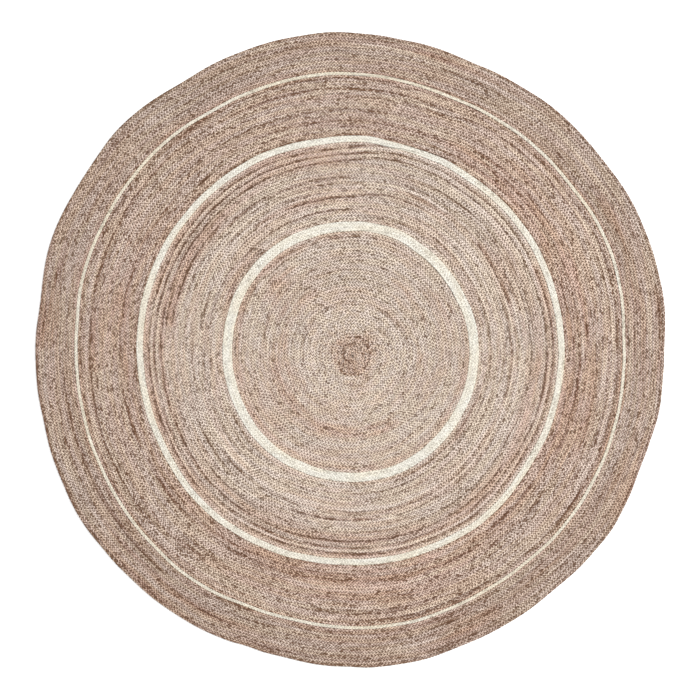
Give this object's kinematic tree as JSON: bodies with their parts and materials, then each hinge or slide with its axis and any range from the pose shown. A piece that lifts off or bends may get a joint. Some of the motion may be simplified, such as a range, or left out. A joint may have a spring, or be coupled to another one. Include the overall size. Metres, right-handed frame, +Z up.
{
  "type": "round braided jute rug",
  "caption": "Flat round rug of one plaited jute braid coiled from the middle out and sewn edge to edge, with slim cream rings.",
  "frame": {"origin": "on the floor, under the middle of the box round the rug's outline", "axes": "+Z up out of the pile side, +Y towards the joggle where the rows step out"},
  "size_m": [1.9878, 2.006, 0.0085],
  "materials": {
    "pale_jute": "matt plaited jute, pale greyish beige with darker stitches and a brown start to the coil",
    "warm_jute": "matt plaited jute, rosy beige with thin dark brown rows",
    "brown_jute": "matt plaited jute, reddish brown next to the middle ring and paler outwards",
    "rim_jute": "matt plaited jute, taupe with brown flecks",
    "cream": "matt plaited cream yarn"
  },
  "bodies": {
    "root": {"centre_jute": "pale_jute", "inner_cream_ring": "cream", "inner_jute_band": "warm_jute", "middle_cream_ring": "cream", "outer_jute_band": "brown_jute", "outer_cream_ring": "cream", "rim_jute_band": "rim_jute"}
  },
  "joints": []
}
